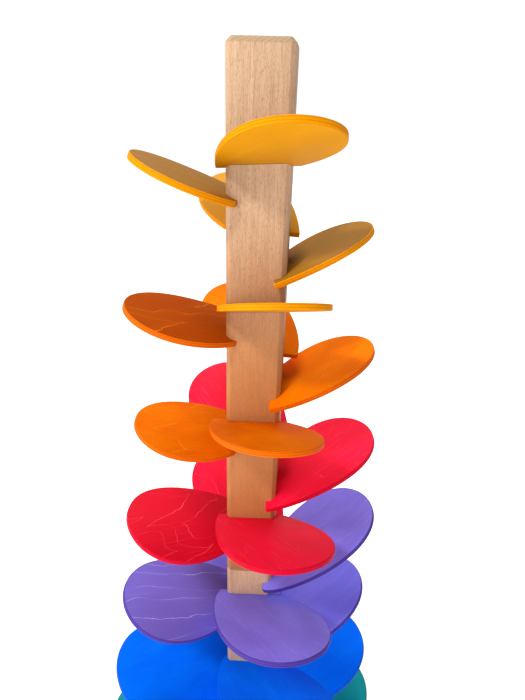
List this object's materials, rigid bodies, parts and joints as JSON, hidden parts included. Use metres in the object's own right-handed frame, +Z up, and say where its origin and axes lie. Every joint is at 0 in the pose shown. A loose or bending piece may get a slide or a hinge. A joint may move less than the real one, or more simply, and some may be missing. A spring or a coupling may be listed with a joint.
{
  "type": "marble tree",
  "caption": "Tall wooden marble tree: a square beech post in two plugged sections carries a spiral of tilted oval leaves in rainbow stain, on a square tray.",
  "frame": {"origin": "centre of the tray's underside, on the floor, on the post's axis", "axes": "+Z up along the post, -Y the side of the first leaf, +X to the right of it"},
  "size_m": [0.48, 0.48, 1.538],
  "materials": {
    "yellow": "stained birch plywood, clear satin varnish",
    "orange": "stained birch plywood, clear satin varnish",
    "red": "stained birch plywood, clear satin varnish",
    "purple": "stained birch plywood, clear satin varnish",
    "blue": "stained birch plywood, clear satin varnish",
    "green": "stained birch plywood, clear satin varnish",
    "lime": "stained birch plywood, clear satin varnish",
    "beech": "planed steamed beech, thin oil",
    "beech_foot": "planed steamed beech, thin oil",
    "dowel_beech": "fluted beech dowel, bare",
    "board_ply": "birch plywood, clear varnish",
    "rail_beech": "planed beech, thin oil",
    "screw_steel": "zinc plated"
  },
  "bodies": {
    "lower_section": {"leaf_purple_1": "purple", "leaf_purple_2": "purple", "leaf_purple_3": "purple", "leaf_purple_4": "purple", "leaf_purple_5": "purple", "leaf_blue_1": "blue", "leaf_blue_2": "blue", "leaf_blue_3": "blue", "leaf_blue_4": "blue", "leaf_blue_5": "blue", "leaf_green_1": "green", "leaf_green_2": "green", "leaf_green_3": "green", "leaf_green_4": "green", "leaf_green_5": "green", "leaf_lime_1": "lime", "leaf_lime_2": "lime", "leaf_lime_3": "lime", "leaf_lime_4": "lime", "leaf_lime_5": "lime", "post_lower": "beech_foot", "dowel_1": "dowel_beech", "dowel_2": "dowel_beech", "base_board": "board_ply", "rail_front": "rail_beech", "rail_right": "rail_beech", "rail_back": "rail_beech", "rail_left": "rail_beech", "screw_1": "screw_steel", "screw_2": "screw_steel", "screw_3": "screw_steel", "screw_4": "screw_steel"},
    "upper_section": {"leaf_yellow_1": "yellow", "leaf_yellow_2": "yellow", "leaf_yellow_3": "yellow", "leaf_yellow_4": "yellow", "leaf_yellow_5": "yellow", "leaf_orange_1": "orange", "leaf_orange_2": "orange", "leaf_orange_3": "orange", "leaf_orange_4": "orange", "leaf_orange_5": "orange", "leaf_red_1": "red", "leaf_red_2": "red", "leaf_red_3": "red", "leaf_red_4": "red", "leaf_red_5": "red", "post_upper": "beech"}
  },
  "joints": [
    {"name": "upper_section_lift", "type": "slide", "parent": "lower_section", "child": "upper_section", "axis": [0, 0, 1], "range_m": [0, 0.08]}
  ]
}
